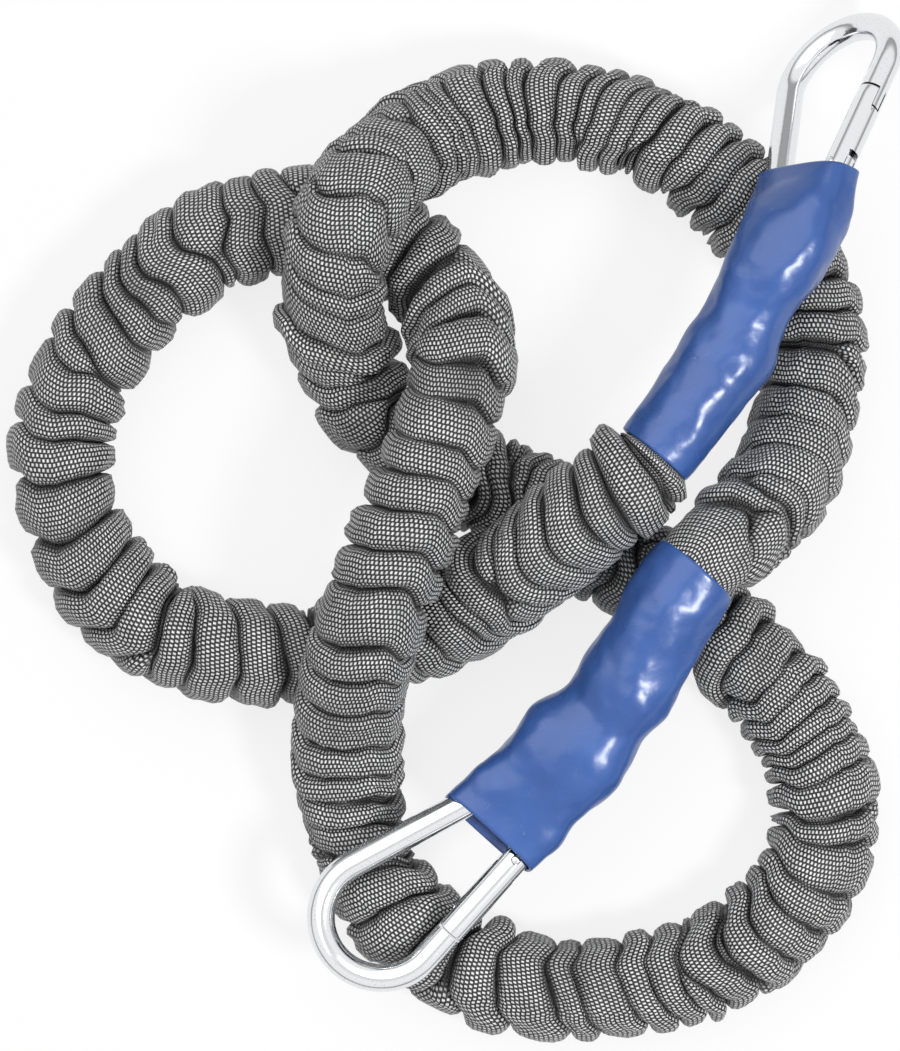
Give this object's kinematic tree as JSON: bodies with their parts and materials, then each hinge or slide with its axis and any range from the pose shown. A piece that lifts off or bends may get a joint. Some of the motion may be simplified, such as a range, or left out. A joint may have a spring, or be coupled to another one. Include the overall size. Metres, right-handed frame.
{
  "type": "shock absorbing lanyard",
  "caption": "Elastic shock absorbing lanyard: ruched grey tubular webbing over a stretch core, lying in loose loops, with a snap hook in a blue heat-shrink sleeve at each end.",
  "frame": {"origin": "on the surface that the lanyard lies on, under the middle of the two hooks and their sleeves", "axes": "+Z up from that surface, +Y towards hook a, +X to the right seen from above with +Y up"},
  "size_m": [0.2565, 0.2971, 0.0611],
  "materials": {
    "hook_steel": "bright zinc-nickel plated, polished",
    "pin_steel": "plain",
    "spring_steel": "plain",
    "webbing": "woven polyester, gathered",
    "elastic": "matt",
    "thread": "bonded thread",
    "heat_shrink": "semi-gloss, shrunk on"
  },
  "bodies": {
    "root": {"hook_frame_a": "hook_steel", "hook_frame_b": "hook_steel", "gate_rivet_a": "pin_steel", "gate_rivet_b": "pin_steel", "webbing_eye_a": "webbing", "webbing_eye_b": "webbing", "bar_tack_a": "thread", "bar_tack_b": "thread", "core_clamp_a": "spring_steel", "core_clamp_b": "spring_steel", "shrink_sleeve_a": "heat_shrink", "shrink_sleeve_b": "heat_shrink", "gathered_cover": "webbing", "elastic_core": "elastic"},
    "gate_a": {"gate_a": "hook_steel", "latch_pin_a": "pin_steel", "gate_spring_a": "spring_steel"},
    "plunger_a": {"spring_plunger_a": "spring_steel"},
    "gate_b": {"gate_b": "hook_steel", "latch_pin_b": "pin_steel", "gate_spring_b": "spring_steel"},
    "plunger_b": {"spring_plunger_b": "spring_steel"}
  },
  "joints": [
    {"name": "gate_a_hinge", "type": "hinge", "parent": "root", "child": "gate_a", "pos_m": [0.06435, 0.09259, 0.04698], "axis": [-0.6125, 0.5742, 0.5433], "range_deg": [0, 35], "stiffness_Nm_per_rad": 0.12, "springref_deg": -28.65},
    {"name": "plunger_a_slide", "type": "slide", "parent": "gate_a", "child": "plunger_a", "axis": [0.3981, 0.8178, -0.4155], "range_m": [0, 0.0018], "deforming": ["gate_spring_a"]},
    {"name": "gate_b_hinge", "type": "hinge", "parent": "root", "child": "gate_b", "pos_m": [-0.02625, -0.10329, 0.03354], "axis": [0, 0, -1], "range_deg": [0, 35], "stiffness_Nm_per_rad": 0.12, "springref_deg": -28.65},
    {"name": "plunger_b_slide", "type": "slide", "parent": "gate_b", "child": "plunger_b", "axis": [-0.6695, -0.7428, 0], "range_m": [0, 0.0018], "deforming": ["gate_spring_b"]}
  ],
  "couplings": [
    {"joint": "plunger_a_slide", "follows": "gate_a_hinge", "m_per_rad": 0.0028},
    {"joint": "plunger_b_slide", "follows": "gate_b_hinge", "m_per_rad": 0.0028}
  ]
}
